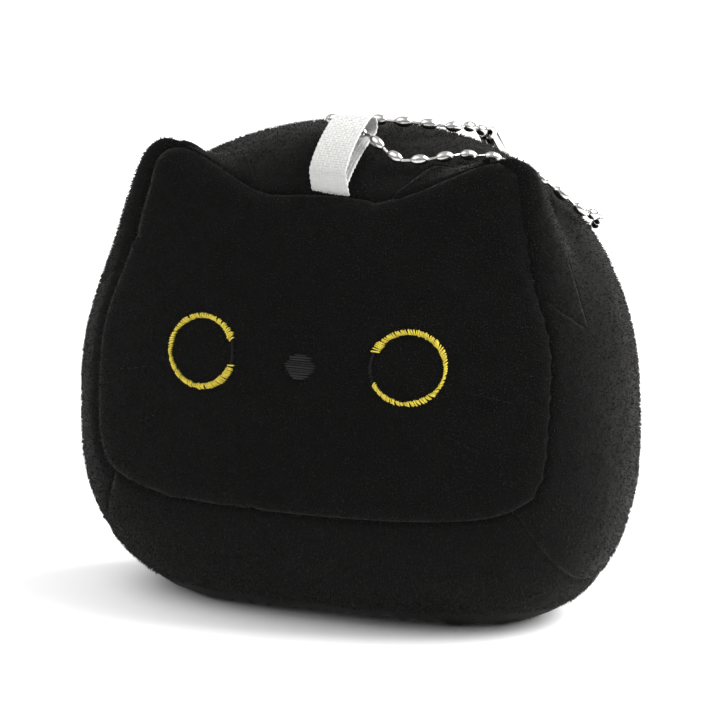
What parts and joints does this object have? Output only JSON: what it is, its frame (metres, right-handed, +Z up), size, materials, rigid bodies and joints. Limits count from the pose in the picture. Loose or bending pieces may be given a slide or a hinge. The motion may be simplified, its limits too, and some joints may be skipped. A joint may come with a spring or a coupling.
{
  "type": "plush keychain",
  "caption": "Stuffed loaf-shaped black cat with an embroidered face, a woven hanging tape in its top seam and a metal bead chain for a bag or keys.",
  "frame": {"origin": "under the middle of the body, on the flat of its base", "axes": "front of the face is -Y, the cat's width runs along X, up is +Z"},
  "size_m": [0.1086, 0.0605, 0.0931],
  "materials": {
    "plush": "short-pile plush, soft and matte",
    "filling": "loose polyester fibre",
    "backing": "non-woven embroidery backing",
    "yellow_thread": "satin stitch in rayon thread",
    "black_thread": "satin stitch in rayon thread",
    "tape": "woven cotton twill tape",
    "chain": "polished nickel plate"
  },
  "bodies": {
    "plush": {"face_panel": "plush", "ear_back_left": "plush", "ear_back_right": "plush", "crown_panel": "plush", "bottom_panel": "plush", "back_panel": "plush", "stuffing_core": "filling", "embroidery_backing": "backing", "left_eye_ring": "yellow_thread", "right_eye_ring": "yellow_thread", "left_eye_corner": "black_thread", "right_eye_corner": "black_thread", "nose_embroidery": "black_thread", "left_whiskers": "black_thread", "right_whiskers": "black_thread", "closing_stitches": "black_thread", "hang_tape_ends": "tape"},
    "tape": {"hang_tape": "tape"},
    "near_chain": {"near_chain_beads": "chain", "near_chain_links": "chain"},
    "middle_chain": {"middle_chain_beads": "chain", "middle_chain_links": "chain"},
    "far_chain": {"far_chain_beads": "chain", "far_chain_links": "chain"},
    "connector": {"chain_connector": "chain", "connector_bead": "chain"}
  },
  "joints": [
    {"name": "tape_lift", "type": "hinge", "parent": "plush", "child": "tape", "pos_m": [0.00097, -0.01455, 0.08158], "axis": [0.9945, -0.1045, 0], "range_deg": [0, 95]},
    {"name": "chain_swing", "type": "hinge", "parent": "tape", "child": "near_chain", "pos_m": [-0.00076, -0.00553, 0.09059], "axis": [0.9268, -0.3072, -0.2158], "range_deg": [0, 90]},
    {"name": "chain_fold_near", "type": "hinge", "parent": "near_chain", "child": "middle_chain", "pos_m": [0.01373, 0.00246, 0.09082], "axis": [-0.1596, -0.9299, -0.3315], "range_deg": [0, 50]},
    {"name": "chain_fold_far", "type": "hinge", "parent": "middle_chain", "child": "far_chain", "pos_m": [0.02022, 0.01331, 0.08845], "axis": [0.4394, -0.8855, -0.1512], "range_deg": [0, 50]},
    {"name": "connector_release", "type": "hinge", "parent": "far_chain", "child": "connector", "pos_m": [0.02139, 0.02146, 0.08195], "axis": [-0.9618, 0.2442, 0.1239], "range_deg": [0, 55]}
  ]
}
